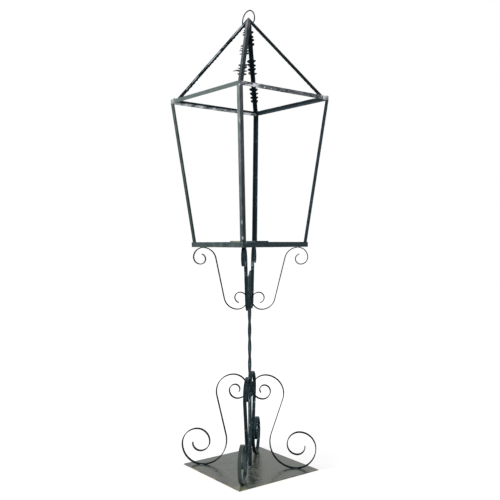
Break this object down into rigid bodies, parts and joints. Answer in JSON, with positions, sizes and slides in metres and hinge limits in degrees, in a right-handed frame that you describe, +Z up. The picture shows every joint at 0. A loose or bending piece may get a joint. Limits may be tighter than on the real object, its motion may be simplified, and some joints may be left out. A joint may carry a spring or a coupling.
{
  "type": "lantern floor lamp",
  "caption": "Wrought-iron lantern stand: open tapered cage with a peaked barbed roof and a hanging ring, on scroll brackets, a twisted square stem, floor scrolls and a flat base plate.",
  "frame": {"origin": "middle of the underside of the base plate, on the floor", "axes": "+Z up along the stem; the base plate's sides run along X and Y; the lantern stands turned 2.3 degrees anticlockwise from above against the base"},
  "size_m": [0.4282, 0.4282, 1.6822],
  "materials": {
    "black_paint": "black paint with a slate tint over rough iron, satin, worn at the edges",
    "plate_paint": "greenish grey worn paint, satin, with rust along the edges"
  },
  "bodies": {
    "stand": {"base_plate": "plate_paint", "stem": "black_paint", "floor_scroll_front_right": "black_paint", "floor_scroll_back_right": "black_paint", "floor_scroll_back_left": "black_paint", "floor_scroll_front_left": "black_paint", "bracket_front_right": "black_paint", "bracket_back_right": "black_paint", "bracket_back_left": "black_paint", "bracket_front_left": "black_paint", "lower_rail_right": "black_paint", "lower_rail_back": "black_paint", "lower_rail_left": "black_paint", "lower_rail_front": "black_paint", "floor_bar": "black_paint", "floor_half_bar_back": "black_paint", "floor_half_bar_front": "black_paint", "candle_pan": "black_paint", "upright_front_right": "black_paint", "upright_back_right": "black_paint", "upright_back_left": "black_paint", "upright_front_left": "black_paint", "upper_rail_right": "black_paint", "upper_rail_back": "black_paint", "upper_rail_left": "black_paint", "upper_rail_front": "black_paint", "roof_bar_front_right": "black_paint", "roof_bar_back_right": "black_paint", "roof_bar_back_left": "black_paint", "roof_bar_front_left": "black_paint"},
    "ring": {"hanging_ring": "black_paint"}
  },
  "joints": [
    {"name": "ring_swing", "type": "hinge", "parent": "stand", "child": "ring", "pos_m": [0, 0, 1.628], "axis": [0.9992, 0.0401, 0], "range_deg": [-115, 115]}
  ]
}
